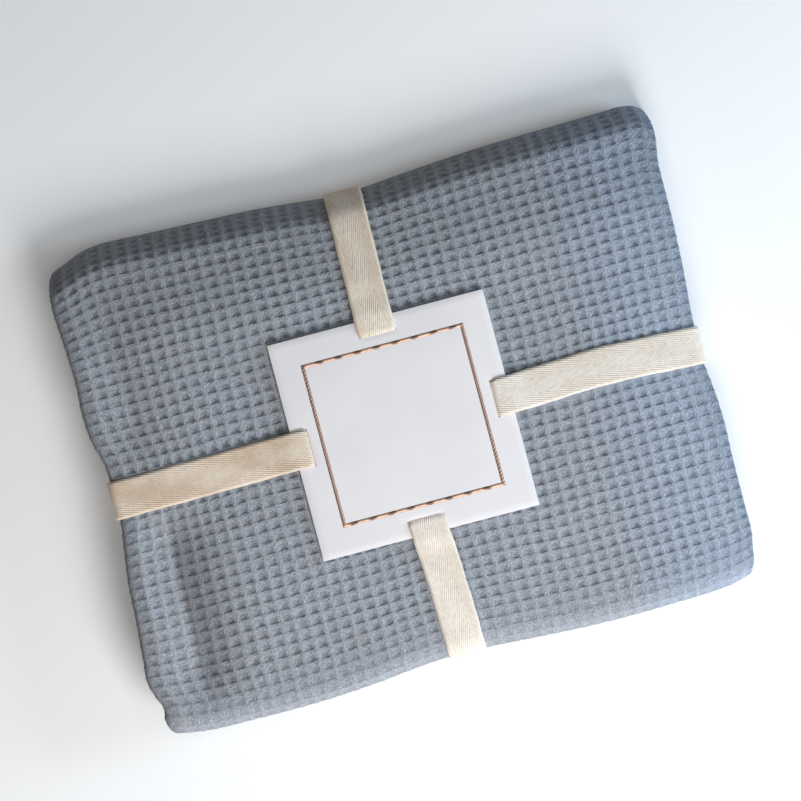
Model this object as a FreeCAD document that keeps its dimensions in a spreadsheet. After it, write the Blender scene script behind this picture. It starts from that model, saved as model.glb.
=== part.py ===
"""A folded throw blanket, banded with two cotton tapes that pass behind a slotted square card.

Millimetres. The origin is at the middle of the underside of the folded stack, +Z up, +X along
the long side and +Y towards the thick back fold. Every size is a named cell of the sheet.
"""

import FreeCAD, Part
import os
import re
import Sketcher

SHEET = "sizes"
DRIVING = {
    # the folded stack: a 1300 x 1700 throw in quarters both ways, 16 layers of waffle cloth
    "stack_length": 424,
    "stack_width": 336,
    "stack_height": 46,
    "stack_corner": 26,
    "stack_edge": 18,
    # how far the stack's walls stand from the origin where the tapes press a waist into it
    "waist_left": 199,
    "waist_right": 204,
    "waist_front": 161,
    "waist_back": 160,
    "waist_edge": 16,
    "slide_travel": 15,
    # cotton tape, and the air kept between any two pieces that move apart
    "tape_width": 26,
    "tape_thick": 0.7,
    "air_gap": 0.3,
    # the card, its slits and its printed frame
    "card_side": 150,
    "card_thick": 0.4,
    "card_x": -1,
    "card_y": -2,
    "slit_inset": 11,
    "slit_length": 29,
    "slit_gap": 2,
    "ramp_run": 5,
    "border_side": 113,
    "border_line": 2.5,
    "foil_thick": 0.1,
    # sewing thread: the hems' long rows, and the short rows that close each tape
    "hem_inset": 18,
    "hem_run": 390,
    "hem_thread": 0.6,
    "hem_rows": 8,
    "hem_pitch": 2.6,
    "hem_first": 4,
    "seam_from_card": 85,
    "seam_rows_apart": 12,
    "stitch_long": 2,
    "stitch_thick": 0.4,
    "stitch_pitch": 3,
    "stitch_count": 8,
    "stitch_proud": 0.15,
}
DERIVED = {
    "channel_width": "=tape_width + 2 * slide_travel + 2 * air_gap",
    "layer_step": "=tape_thick + air_gap",
    "channel_depth": "=2 * layer_step + air_gap",
    "card_base": "=stack_height + 2 * layer_step + air_gap",
    "card_half": "=card_side / 2",
    "slit_centre": "=card_half - slit_inset",
    "over_card": "=card_base + card_thick + air_gap",
    "dive_wall": "=slit_centre + tape_thick / 2",
    "margin_end": "=card_half + 2 * air_gap",
    "ramp_end": "=margin_end + ramp_run",
    "tape_bend": "=waist_edge + air_gap",
}
NAMES = list(DRIVING) + list(DERIVED)

doc = FreeCAD.newDocument("folded_throw")


# ------------------------------------------------------------ the sheet and small helpers
def make_sheet():
    """The driving sizes and what is worked out from them, one aliased cell each."""
    sheet = doc.addObject("Spreadsheet::Sheet", SHEET)
    for row, (alias, value) in enumerate([*DRIVING.items(), *DERIVED.items()], 1):
        sheet.set(f"A{row}", alias)
        sheet.set(f"B{row}", str(value))
        sheet.setAlias(f"B{row}", alias)
    doc.recompute()
    return sheet


SIZES = make_sheet()


def size(text):
    """The value of an expression in cell names."""
    return float(SIZES.evalExpression(text))


def bind(thing, prop, text):
    """Ties a property to an expression in cell names."""
    named = re.sub(r"[a-z_]+[a-z]", lambda m: f"{SHEET}.{m[0]}" if m[0] in NAMES else m[0], text)
    thing.setExpression(prop, named)


def new_body(label):
    """A body whose label names its file."""
    body = doc.addObject("PartDesign::Body", label + "_body")
    body.Label = label
    return body


def new_sketch(body, name, role="XY_Plane"):
    """A sketch on one of the body's own planes."""
    sketch = body.newObject("Sketcher::SketchObject", name)
    plane = next(f for f in body.Origin.OriginFeatures if f.Role == role)
    sketch.AttachmentSupport = [(plane, "")]
    sketch.MapMode = "FlatFace"
    return sketch


def lift(sketch, text):
    """Moves a sketch off its plane, along the plane's normal."""
    bind(sketch, "AttachmentOffset.Base.z", text)


def hold(sketch, geometry, end, spot):
    """Holds one end of an edge at spot, a pair of expressions from the sketch's origin."""
    for kind, text in zip(("DistanceX", "DistanceY"), spot):
        rule = Sketcher.Constraint(kind, -1, 1, geometry, end, size(text))
        name = f"{kind}_{geometry}_{end}"
        sketch.renameConstraint(sketch.addConstraint(rule), name)
        bind(sketch, "Constraints." + name, text)


def place(spot):
    """A pair of expressions as a point."""
    return FreeCAD.Vector(size(spot[0]), size(spot[1]), 0)


def stepped(spot, other, radius):
    """The pair of expressions that lies radius away from spot, square towards other."""
    gap = place(other) - place(spot)
    if abs(gap.x) > abs(gap.y):
        return f"({spot[0]}) {'+' if gap.x > 0 else '-'} {radius}", spot[1]
    return spot[0], f"({spot[1]}) {'+' if gap.y > 0 else '-'} {radius}"


def add_outline(sketch, corners):
    """A closed outline, anticlockwise, through corners (across, along, radius or None).

    A corner with a radius is where two square runs meet, and it gets a quarter circle."""
    count = len(corners)
    arrive, leave, lines = [], [], []
    for n, (across, along, radius) in enumerate(corners):
        spot = (across, along)
        if radius is None:
            arrive.append(spot)
            leave.append(spot)
        else:
            arrive.append(stepped(spot, corners[n - 1][:2], radius))
            leave.append(stepped(spot, corners[(n + 1) % count][:2], radius))
    for n in range(count):
        start, end = leave[n], arrive[(n + 1) % count]
        line = sketch.addGeometry(Part.LineSegment(place(start), place(end)), False)
        hold(sketch, line, 1, start)
        if corners[(n + 1) % count][2] is not None:
            hold(sketch, line, 2, end)
        lines.append(line)
    for n, (across, along, radius) in enumerate(corners):
        before, after = lines[n - 1], lines[n]
        if radius is None:
            sketch.addConstraint(Sketcher.Constraint("Coincident", before, 2, after, 1))
        else:
            add_bend(sketch, before, after, place(arrive[n]), place(leave[n]), place((across, along)))


def add_bend(sketch, before, after, start, end, corner):
    """The quarter circle from start to end that rounds a corner, tangent to the line before it."""
    centre = start + end - corner
    circle = Part.Circle(centre, FreeCAD.Vector(0, 0, 1), (start - centre).Length)
    arc = Part.ArcOfCircle(circle, circle.parameter(start), circle.parameter(end))
    bend = sketch.addGeometry(arc, False)
    sketch.addConstraint(Sketcher.Constraint("Tangent", before, 2, bend, 1))
    sketch.addConstraint(Sketcher.Constraint("Coincident", bend, 2, after, 1))


def add_rectangle(sketch, low_across, high_across, low_along, high_along, radius=None):
    """A closed rectangle between two pairs of places."""
    spots = [
        (low_across, low_along),
        (high_across, low_along),
        (high_across, high_along),
        (low_across, high_along),
    ]
    add_outline(sketch, [(across, along, radius) for across, along in spots])


def edges_where(shape, test):
    """The names of a shape's edges whose box passes a test."""
    return [f"Edge{n}" for n, edge in enumerate(shape.Edges, 1) if test(edge.BoundBox)]


def add_pad(body, name, sketch, length, midplane=False):
    """A pad of a sketch, its length an expression."""
    pad = body.newObject("PartDesign::Pad", name)
    pad.Profile = sketch
    pad.Midplane = midplane
    bind(pad, "Length", length)
    doc.recompute()
    return pad


# ------------------------------------------------------------ the folded cloth
def add_fillet(body, name, base, edges, radius):
    """A fillet of the named edges."""
    fillet = body.newObject("PartDesign::Fillet", name)
    fillet.Base = (base, edges)
    bind(fillet, "Radius", radius)
    doc.recompute()
    return fillet


def cut_channel(body, name, role, normal, centre, low, high):
    """Takes away what lies outside a tape's loop, over the width that the tape slides in."""
    before = body.Shape.Volume
    sketch = new_sketch(body, name + "_section", role)
    add_rectangle(sketch, "-stack_length", "stack_length", "-stack_height", "2 * stack_height")
    add_rectangle(sketch, "-" + low, high, "channel_depth", "stack_height", "waist_edge")
    lift(sketch, f"{normal} * {centre}")
    channel = body.newObject("PartDesign::Pocket", name)
    channel.Profile = sketch
    channel.Midplane = True
    bind(channel, "Length", "channel_width")
    doc.recompute()
    if not body.Shape.Volume < before:
        raise RuntimeError(name + " cuts nothing")


def make_blanket():
    """A rounded block with a shallow channel round it for each tape."""
    body = new_body("folded_blanket")
    outline = new_sketch(body, "stack_outline")
    add_rectangle(
        outline, "-stack_length / 2", "stack_length / 2", "-stack_width / 2", "stack_width / 2"
    )
    block = add_pad(body, "stack_block", outline, "stack_height")
    upright = edges_where(block.Shape, lambda box: box.ZLength > 1)
    corners = add_fillet(body, "stack_corners", block, upright, "stack_corner")
    level = edges_where(corners.Shape, lambda box: box.ZLength < 1)
    add_fillet(body, "stack_rims", corners, level, "stack_edge")
    cut_channel(body, "long_channel", "XZ_Plane", -1, "card_y", "waist_left", "waist_right")
    cut_channel(body, "cross_channel", "YZ_Plane", 1, "card_x", "waist_front", "waist_back")
    return body


def make_hem_thread():
    """The rows of thread along the free hems, one to a layer, in the lower half of the front."""
    body = new_body("hem_thread")
    sketch = new_sketch(body, "hem_thread_section", "YZ_Plane")
    inner = "hem_inset - stack_width / 2"
    add_rectangle(
        sketch,
        f"{inner} - hem_thread / 2",
        f"{inner} + hem_thread / 2",
        "hem_first - hem_thread / 2",
        "hem_first + hem_thread / 2",
    )
    row = add_pad(body, "hem_row", sketch, "hem_run", midplane=True)
    add_pattern(body, "hem_rows_up", row, (sketch, "V_Axis"), "hem_pitch * (hem_rows - 1)", "hem_rows")
    return body


def add_pattern(body, name, feature, direction, length, count):
    """Repeats a feature along a line; it becomes the body's tip."""
    pattern = body.newObject("PartDesign::LinearPattern", name)
    pattern.Originals = [feature]
    pattern.Direction = (direction[0], [direction[1]])
    bind(pattern, "Length", length)
    bind(pattern, "Occurrences", count)
    body.Tip = pattern
    doc.recompute()
    return pattern


# ------------------------------------------------------------ the tapes
def tape_line(low, high, offset, under, over):
    """The inner line of a tape, anticlockwise round the stack: its waist, then over the card.

    offset is the card's centre along the line, and under and over are the heights of the run
    below the stack and of the run that is hidden behind the card."""
    left, right = f"-{low} - air_gap", f"{high} + air_gap"
    top = "stack_height + air_gap"
    rise = [
        (f"{offset} + ramp_end", top, None),
        (f"{offset} + margin_end", "over_card", None),
        (f"{offset} + dive_wall", "over_card", None),
        (f"{offset} + dive_wall", over, None),
    ]
    fall = [(text.replace("+", "-"), along, None) for text, along, _ in reversed(rise)]
    return [
        (left, under, "tape_bend"),
        (right, under, "tape_bend"),
        (right, top, "tape_bend"),
        *rise,
        *fall,
        (left, top, "tape_bend"),
    ]


def make_tape(label, turn, centre, line):
    """A flat tape of even thickness that follows its inner line, centred on the card."""
    sketch = doc.addObject("Sketcher::SketchObject", label + "_line")
    add_outline(sketch, line)
    doc.recompute()
    face = doc.addObject("Part::Offset2D", label + "_section")
    face.Source = sketch
    face.Fill = True
    face.Join = "Intersection"
    bind(face, "Value", "tape_thick")
    doc.recompute()
    tape = doc.addObject("Part::Extrusion", label + "_solid")
    tape.Base = face
    tape.DirMode = "Normal"
    tape.Symmetric = True
    tape.Solid = True
    bind(tape, "LengthFwd", "tape_width")
    tape.Label = label
    doc.recompute()
    tape.Placement = FreeCAD.Placement(centre, turn)
    return tape


TURN_LONG = FreeCAD.Rotation(FreeCAD.Vector(1, 0, 0), 90)
TURN_CROSS = FreeCAD.Rotation(FreeCAD.Vector(0, 0, 1), 90) * TURN_LONG


def make_long_tape():
    line = tape_line(
        "waist_left", "waist_right", "card_x", "2 * layer_step", "stack_height + air_gap"
    )
    return make_tape("long_tape", TURN_LONG, FreeCAD.Vector(0, size("card_y"), 0), line)


def make_cross_tape():
    line = tape_line(
        "waist_front", "waist_back", "card_y", "layer_step", "stack_height + air_gap + layer_step"
    )
    return make_tape("cross_tape", TURN_CROSS, FreeCAD.Vector(size("card_x"), 0, 0), line)


def make_seam(label, across_tape, low, seam, centre):
    """Two rows of stitches through a tape, side by side on its underside run.

    The rows run across the tape; seam and centre place their middle along and across it."""
    body = new_body(label)
    sketch = new_sketch(body, label + "_plan")
    lift(sketch, low)
    first = f"{centre} - stitch_pitch * (stitch_count - 1) / 2"
    for side in ("-", "+"):
        middle = f"{seam} {side} seam_rows_apart / 2"
        along = (f"{middle} - stitch_thick / 2", f"{middle} + stitch_thick / 2")
        across = (f"{first} - stitch_long / 2", f"{first} + stitch_long / 2")
        pairs = (*along, *across) if across_tape == "V_Axis" else (*across, *along)
        add_rectangle(sketch, *pairs)
    row = add_pad(body, label + "_pair", sketch, "tape_thick + 2 * stitch_proud")
    reach = "stitch_pitch * (stitch_count - 1)"
    add_pattern(body, label + "_rows", row, (sketch, across_tape), reach, "stitch_count")
    return body


# ------------------------------------------------------------ the card
def make_card():
    """A square card with a slit inside each edge."""
    body = new_body("card")
    sketch = new_sketch(body, "card_outline")
    lift(sketch, "card_base")
    add_rectangle(
        sketch,
        "card_x - card_half",
        "card_x + card_half",
        "card_y - card_half",
        "card_y + card_half",
    )
    sheet = add_pad(body, "card_sheet", sketch, "card_thick")
    before = sheet.Shape.Volume
    slits = new_sketch(body, "card_slits")
    lift(slits, "card_base")
    for side in ("-", "+"):
        middle = f"card_x {side} slit_centre"
        ends = ("card_y - slit_length / 2", "card_y + slit_length / 2")
        add_rectangle(slits, f"{middle} - slit_gap / 2", f"{middle} + slit_gap / 2", *ends)
        middle = f"card_y {side} slit_centre"
        ends = ("card_x - slit_length / 2", "card_x + slit_length / 2")
        add_rectangle(slits, *ends, f"{middle} - slit_gap / 2", f"{middle} + slit_gap / 2")
    cut = body.newObject("PartDesign::Pocket", "card_slit_cut")
    cut.Profile = slits
    cut.Reversed = True
    bind(cut, "Length", "card_thick")
    doc.recompute()
    expected = 4 * size("slit_length * slit_gap * card_thick")
    if abs(before - body.Shape.Volume - expected) > 0.01:
        raise RuntimeError("the card's slits aren't cut through")
    return body


def make_card_border():
    """The printed foil frame that lies on the card."""
    body = new_body("card_border")
    sketch = new_sketch(body, "border_outline")
    lift(sketch, "card_base + card_thick")
    for half in ("border_side / 2", "(border_side / 2 - border_line)"):
        add_rectangle(
            sketch, f"card_x - {half}", f"card_x + {half}", f"card_y - {half}", f"card_y + {half}"
        )
    add_pad(body, "border_foil", sketch, "foil_thick")
    return body


# ------------------------------------------------------------ the whole, checked and written
def check(part):
    """Stops the build if a sub-part isn't sound."""
    if part.Shape.isNull() or not part.Shape.isValid() or part.Shape.Volume <= 0:
        raise RuntimeError(part.Label + " has no sound shape")


def write_parts(parts):
    """Checks every object and sub-part, and then writes one file for each sub-part."""
    doc.recompute()
    for thing in doc.Objects:
        if "Invalid" in thing.State or "Error" in thing.State:
            raise RuntimeError(f"{thing.Label} is {thing.State}")
    for part in parts:
        check(part)
    os.makedirs("parts", exist_ok=True)
    for part in parts:
        part.Shape.exportStep(f"parts/{part.Label}.step")
        box = part.Shape.BoundBox
        print(
            f"{part.Label:20s} {len(part.Shape.Solids):3d} solids {part.Shape.Volume:12.1f} mm3"
            f"  x {box.XMin:8.2f} {box.XMax:8.2f}  y {box.YMin:8.2f} {box.YMax:8.2f}"
            f"  z {box.ZMin:6.2f} {box.ZMax:6.2f}"
        )


write_parts(
    [
        make_blanket(),
        make_hem_thread(),
        make_long_tape(),
        make_cross_tape(),
        make_seam(
            "long_tape_stitches",
            "V_Axis",
            "layer_step + air_gap - stitch_proud",
            "card_x - seam_from_card",
            "card_y",
        ),
        make_seam(
            "cross_tape_stitches",
            "H_Axis",
            "air_gap - stitch_proud",
            "card_y - seam_from_card",
            "card_x",
        ),
        make_card(),
        make_card_border(),
    ]
)
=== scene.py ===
"""The looks of a folded waffle-weave throw, banded with two cotton tapes behind a slotted card.

The cloth is one sheet, folded in quarters along X and then in quarters along Y. Its mesh is laid out on
the flat cloth, u along the 1.7 m side and v along the 1.3 m side, and folding it is a formula. Lengths
in the shape code are millimetres, and they become metres when a mesh is made.
"""

import math

import bpy
import numpy as np
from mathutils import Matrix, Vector
from mathutils.geometry import convex_hull_2d


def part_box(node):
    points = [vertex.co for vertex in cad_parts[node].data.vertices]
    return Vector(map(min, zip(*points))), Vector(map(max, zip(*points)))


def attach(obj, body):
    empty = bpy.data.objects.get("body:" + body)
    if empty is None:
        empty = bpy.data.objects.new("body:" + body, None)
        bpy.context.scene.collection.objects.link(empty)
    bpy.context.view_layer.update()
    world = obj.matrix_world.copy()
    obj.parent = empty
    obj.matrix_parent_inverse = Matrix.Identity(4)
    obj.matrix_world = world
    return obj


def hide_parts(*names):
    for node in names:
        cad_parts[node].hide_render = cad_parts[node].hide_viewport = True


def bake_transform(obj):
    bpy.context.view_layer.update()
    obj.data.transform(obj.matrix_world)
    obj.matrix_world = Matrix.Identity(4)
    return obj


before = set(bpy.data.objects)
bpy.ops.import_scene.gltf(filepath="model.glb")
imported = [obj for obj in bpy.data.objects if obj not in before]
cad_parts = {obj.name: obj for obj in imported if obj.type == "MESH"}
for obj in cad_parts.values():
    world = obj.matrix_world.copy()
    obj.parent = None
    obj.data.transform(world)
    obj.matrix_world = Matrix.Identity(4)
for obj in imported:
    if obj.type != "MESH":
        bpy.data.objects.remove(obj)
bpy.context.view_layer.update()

MM = 0.001


def node_box(name):
    """The lowest and highest corners of a CAD node, in millimetres."""
    low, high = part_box(name)
    return np.array(low) / MM, np.array(high) / MM


STACK_LOW, STACK_HIGH = node_box("folded_blanket")
CARD_LOW, CARD_HIGH = node_box("card")
LONG_LOW, LONG_HIGH = node_box("long_tape")
CROSS_LOW = node_box("cross_tape")[0]
CARD_X, CARD_Y = (CARD_LOW[:2] + CARD_HIGH[:2]) / 2
CARD_HALF = (CARD_HIGH[0] - CARD_LOW[0]) / 2
TAPE_WIDE = LONG_HIGH[1] - LONG_LOW[1]
TAPE_THICK = 0.7

# ---------------------------------------------------------------- the cloth and how it is folded
CLOTH_U, CLOTH_V = 1700.0, 1300.0
CELL_U, CELL_V = 9.4, 7.65
PIT_DEEP = 1.6
TOP = STACK_HIGH[2]
LAYER = TOP / 16

# the four layers of the packet, from its outer face inwards: how far each lies from that face
OUT_FACE, SECOND, THIRD, IN_FACE = (LAYER * share for share in (0.14, 1.4, 2.6, 3.86))
LEFT_TURN = (IN_FACE - OUT_FACE) / 2
LEFT_AXIS = STACK_LOW[0] + LEFT_TURN + OUT_FACE
RIGHT_TURN = (SECOND - OUT_FACE) / 2
RIGHT_AXIS = STACK_HIGH[0] - RIGHT_TURN - OUT_FACE
INNER_TURN = (THIRD - SECOND) / 2
HEM_X = 208.0

BACK_AXIS = STACK_HIGH[1] - 8 * LAYER
FRONT_AXIS = STACK_LOW[1] + 4 * LAYER
HEM_Y = (-154.0, -150.0)


def smooth(low, high, at):
    """0 below low, 1 above high and an even ease between them."""
    t = np.clip((at - low) / (high - low), 0.0, 1.0)
    return t * t * (3 - 2 * t)


def bell(middle, width, at):
    """1 at the middle, fading to 0 over about twice the width."""
    return np.exp(-(((at - middle) / width) ** 2))


def through(points, at):
    """A smooth curve through points (where, value), read at one or many places."""
    where, value = np.array(points, float).T
    slope = np.gradient(value, where)
    k = np.clip(np.searchsorted(where, at) - 1, 0, len(where) - 2)
    gap = where[k + 1] - where[k]
    t = np.clip((at - where[k]) / gap, 0, 1)
    h00, h10 = (1 + 2 * t) * (1 - t) ** 2, t * (1 - t) ** 2
    h01, h11 = t * t * (3 - 2 * t), t * t * (t - 1)
    return h00 * value[k] + h10 * gap * slope[k] + h01 * value[k + 1] + h11 * gap * slope[k + 1]


def knots_of(lengths, total, stretch):
    """Where each stretch of a folded line begins on the flat cloth; the runs listed take what is left."""
    spare = (total - sum(lengths)) / len(stretch)
    full = [length + (spare if i in stretch else 0) for i, length in enumerate(lengths)]
    return np.concatenate([[0], np.cumsum(full)])


RUN_X = RIGHT_AXIS - LEFT_AXIS
RUN_Y = BACK_AXIS - FRONT_AXIS
U_KNOTS = knots_of(
    [RUN_X, math.pi * LEFT_TURN, RUN_X, math.pi * RIGHT_TURN, RUN_X, math.pi * INNER_TURN, RUN_X],
    CLOTH_U,
    (0, 4, 6),
)
V_KNOTS = knots_of(
    [RUN_Y, math.pi * (8 * LAYER - OUT_FACE), RUN_Y, math.pi * (4 * LAYER - OUT_FACE), RUN_Y,
     math.pi * 2 * LAYER, RUN_Y],
    CLOTH_V,
    (0, 6),
)


def stretch_of(knots, at):
    """Which stretch of the line a point is on, and how far along it from 0 to 1."""
    k = np.clip(np.searchsorted(knots, at, side="right") - 1, 0, len(knots) - 2)
    return k, (at - knots[k]) / (knots[k + 1] - knots[k])


def packet(u, n):
    """(x, depth) of points of the cloth in the packet of four layers, n outside the cloth's outer face."""
    k, t = stretch_of(U_KNOTS, u)
    a = math.pi * t
    spots = [
        (HEM_X + (LEFT_AXIS - HEM_X) * t, IN_FACE + n),
        (LEFT_AXIS - (LEFT_TURN + n) * np.sin(a), (IN_FACE + OUT_FACE) / 2 + (LEFT_TURN + n) * np.cos(a)),
        (LEFT_AXIS + RUN_X * t, OUT_FACE - n),
        (RIGHT_AXIS + (RIGHT_TURN + n) * np.sin(a), (SECOND + OUT_FACE) / 2 - (RIGHT_TURN + n) * np.cos(a)),
        (RIGHT_AXIS - RUN_X * t, SECOND + n),
        (LEFT_AXIS - (INNER_TURN - n) * np.sin(a), (THIRD + SECOND) / 2 - (INNER_TURN - n) * np.cos(a)),
        (LEFT_AXIS + (HEM_X - LEFT_AXIS) * t, THIRD - n),
    ]
    x = np.select([k == i for i in range(7)], [s[0] for s in spots])
    depth = np.select([k == i for i in range(7)], [s[1] for s in spots])
    return x, depth


# how far the back roll reaches out, as a share of a round one, from its bottom (-1) to its top (1)
BACK_SLOPE = [
    (-1, 1.1), (-0.7, 1.18), (-0.4, 1.09), (-0.2, 1.02), (0.1, 0.89), (0.5, 0.79), (0.8, 0.82), (0.93, 0.95),
    (1, 1.02),
]


def stack(v, depth):
    """(y, z) of points of the packet once it is folded in quarters the other way."""
    k, t = stretch_of(V_KNOTS, v)
    a = math.pi * t
    spots = [
        (HEM_Y[0] + (BACK_AXIS - HEM_Y[0]) * t, depth),
        (BACK_AXIS + (8 * LAYER - depth) * np.sin(a), 8 * LAYER - (8 * LAYER - depth) * np.cos(a)),
        (BACK_AXIS - RUN_Y * t, 16 * LAYER - depth),
        (FRONT_AXIS - (4 * LAYER - depth) * np.sin(a), 12 * LAYER + (4 * LAYER - depth) * np.cos(a)),
        (FRONT_AXIS + RUN_Y * t, 8 * LAYER + depth),
        (BACK_AXIS + depth * np.sin(a), 8 * LAYER + depth * np.cos(a)),
        (BACK_AXIS + (HEM_Y[1] - BACK_AXIS) * t, 8 * LAYER - depth),
    ]
    y = np.select([k == i for i in range(7)], [s[0] for s in spots])
    z = np.select([k == i for i in range(7)], [s[1] for s in spots])
    lean = through(BACK_SLOPE, (z - 8 * LAYER) / (8 * LAYER))
    return np.minimum(y, BACK_AXIS) + np.maximum(y - BACK_AXIS, 0) * lean, z


# ---------------------------------------------------------------- how the folded stack has settled
# how far each side is drawn in from the CAD box, along that side, with the tape's waist near the middle
LEFT_IN = [
    (-168, 3.8), (-157, 3.0), (-148, 4.7), (-141, 2.3), (-131, -0.1), (-110, 1.7), (-82, 4.5), (-58, 6.0),
    (-42, 8.0), (-29, 9.8), (-16, 11.4), (12, 11.0), (25, 9.6), (38, 5.6), (58, 3.2), (82, 3.8), (108, 2.6),
    (148, 0.4), (158, 0.8), (168, 1.6),
]
RIGHT_IN = [
    (-168, 9.2), (-158, 6.0), (-149, 5.2), (-140, 3.8), (-118, 4.2), (-82, 4.7), (-48, 4.2), (-29, 5.4),
    (-16, 6.8), (12, 6.8), (26, 6), (48, 4), (88, 1.6), (118, 0.8), (128, 0.2), (140, -2.0), (148, -3.1),
    (157, -3.0), (168, -0.8),
]
BACK_IN = [
    (-212, 9.4), (-205, 7.0), (-195, 3.2), (-188, 0.4), (-176, -2.0), (-160, -2.1), (-140, -1.2), (-96, 0.4),
    (-58, 2.2), (-30, 4.9), (-14, 6.5), (12, 6.5), (28, 5.1), (60, 2.5), (100, 0.1), (150, -1.1), (185, -1.9),
    (198, -2.1), (206, -0.2), (212, 3.4),
]
FRONT_IN = [
    (-212, 3.8), (-204, 2.2), (-190, 0), (-151, -1.2), (-101, -1), (-62, 1.4), (-30, 4.8), (-14, 5.8),
    (12, 5.8), (28, 5.1), (52, 3.6), (100, 1.6), (150, 2.2), (185, 3.4), (198, 4.8), (206, 6.8), (212, 8.8),
]
EDGE_REACH = 100.0
SLIDE = 15.0
CHANNEL_DEEP = 2.3
CHANNEL_FLAT = TAPE_WIDE / 2 + SLIDE + 3
CHANNEL_FADE = 9.0

# how far the ends of the packet lie in from the outline, along the cloth from hem to hem
LEFT_STAGGER = [
    (0, 3.5), (150, 1.2), (V_KNOTS[1], 2.6), (V_KNOTS[2], 0.4), (V_KNOTS[2] + 40, 0), (V_KNOTS[3] - 14, 0),
    (V_KNOTS[3] + 16, 2.2), (V_KNOTS[4] + 60, 2.2), (V_KNOTS[5] - 60, 3.6), (V_KNOTS[6] + 80, 1.4),
    (V_KNOTS[7], 4.6),
]
RIGHT_STAGGER = [
    (0, 1.4), (120, 2.8), (V_KNOTS[1], 1.0), (V_KNOTS[2], 0.6), (V_KNOTS[2] + 40, 0), (V_KNOTS[3] - 14, 0),
    (V_KNOTS[3] + 20, 1.4), (V_KNOTS[4] + 100, 3.4), (V_KNOTS[5] - 40, 1.2), (V_KNOTS[6] + 120, 3.0),
    (V_KNOTS[7], 1.2),
]
CREASE_X = -173.0
CREASE_DEEP = 8.8


def crease(x, y):
    """The V-shaped hollow beside the left roll, from 0 to 1, deepest in front of the long tape."""
    middle = CREASE_X - 6 * smooth(0, 30, y) + 1.2 * np.sin(y / 37 + 0.5)
    left = np.clip(1 - (middle - x) / 23, 0, 1)
    right = np.clip(1 - (x - middle) / 46, 0, 1) ** 2
    front = smooth(-160, -118, y) * (1 - smooth(-44, -4, y))
    behind = 0.45 * smooth(10, 50, y) * (1 - smooth(100, 150, y))
    return np.where(x < middle, left, right) * (front + behind)


def height_at(x, y):
    """How high the top of the stack stands: full in the middle and lower towards its edges."""
    sunk = 2.4 * bell(-2, 34, y) * (bell(-208, 24, x) + 0.8 * bell(208, 24, x))
    sunk = sunk + 2.0 * bell(-1, 34, x) * (bell(-168, 20, y) + 0.8 * bell(168, 26, y))
    droop = 1.3 * smooth(150, 212, abs(x)) + 12.0 * smooth(88, 174, y) + 2.6 * smooth(-66, -168, y)
    away = smooth(70, 120, np.hypot(x, y))
    swell = 0.4 * np.sin(x / 31 + 1.3) * np.sin(y / 26 + 0.4) + 0.3 * np.sin(x / 19 + y / 24 + 0.6) - 0.4
    return TOP - CREASE_DEEP * crease(x, y) - sunk - droop + swell * away


def channel_at(x, y):
    """1 over the runs of the tapes on the underside, wide enough for their slide, and 0 elsewhere."""
    along_x = 1 - smooth(CHANNEL_FLAT, CHANNEL_FLAT + CHANNEL_FADE, abs(y - CARD_Y))
    along_y = 1 - smooth(CHANNEL_FLAT, CHANNEL_FLAT + CHANNEL_FADE, abs(x - CARD_X))
    return np.maximum(along_x, along_y)


def settle(x, y, z, v):
    """Moves points of the ideal folded stack to where the soft, banded stack has them."""
    to_left = smooth(STACK_LOW[0] + 4 + EDGE_REACH, STACK_LOW[0] + 4, x)
    to_right = smooth(STACK_HIGH[0] - 4 - EDGE_REACH, STACK_HIGH[0] - 4, x)
    to_back = smooth(STACK_HIGH[1] - 4 - EDGE_REACH, STACK_HIGH[1] - 4, y)
    to_front = smooth(STACK_LOW[1] + 4 + EDGE_REACH * 0.8, STACK_LOW[1] + 4, y)
    left = through(LEFT_IN, y) + through(LEFT_STAGGER, v)
    right = through(RIGHT_IN, y) + through(RIGHT_STAGGER, v)
    moved_x = x + left * to_left - right * to_right
    moved_y = y - through(BACK_IN, x) * to_back + through(FRONT_IN, x) * to_front
    inner = (1 - to_left) * (1 - to_right) * (1 - to_back) * (1 - to_front)
    moved_x = moved_x + inner * 0.8 * np.sin(y / 43 + 0.8) * np.sin(x / 67 + 0.5)
    moved_y = moved_y + inner * (0.9 * np.sin(x / 52 + 2.1) + 0.5 * np.sin(x / 23 + 1.0))
    moved_x = moved_x + 0.45 * np.sin(y / 9 + x / 31) * inner
    moved_y = moved_y + 0.40 * np.sin(x / 10 + y / 27) * inner
    moved_z = z * height_at(moved_x, moved_y) / TOP
    lift = CHANNEL_DEEP * channel_at(moved_x, moved_y) * (1 - smooth(0, 14, moved_z))
    return np.stack([moved_x, moved_y, moved_z + lift], axis=-1)


def folded(u, v, n=0.0):
    """Where a point of the flat cloth lies, n outside its outer face."""
    x, depth = packet(u, n)
    y, z = stack(v, depth)
    return settle(x, y, z, v)


# ---------------------------------------------------------------- the waffle cells
# where in a cell, from ridge to ridge, the pit starts, is deepest and ends
DIP_U = (0.08, 0.62, 0.74, 0.95)
DIP_V = (0.02, 0.66, 0.82, 0.98)
MARKS_U = (0.0, 0.14, 0.38, 0.68, 0.88)
MARKS_V = (0.0, 0.3, 0.7, 0.9)


def dip(at, cell, shape):
    """0 on a ridge and 1 in the deepest part of the pit, along one direction of the cloth."""
    t = at / cell - np.floor(at / cell)
    return smooth(shape[0], shape[1], t) * (1 - smooth(shape[2], shape[3], t))


def cell_noise(u, v):
    """An even random number from 0 to 1 for each cell."""
    mixed = np.sin(np.floor(u / CELL_U) * 12.9898 + np.floor(v / CELL_V) * 78.233) * 43758.5453
    return mixed - np.floor(mixed)


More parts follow.
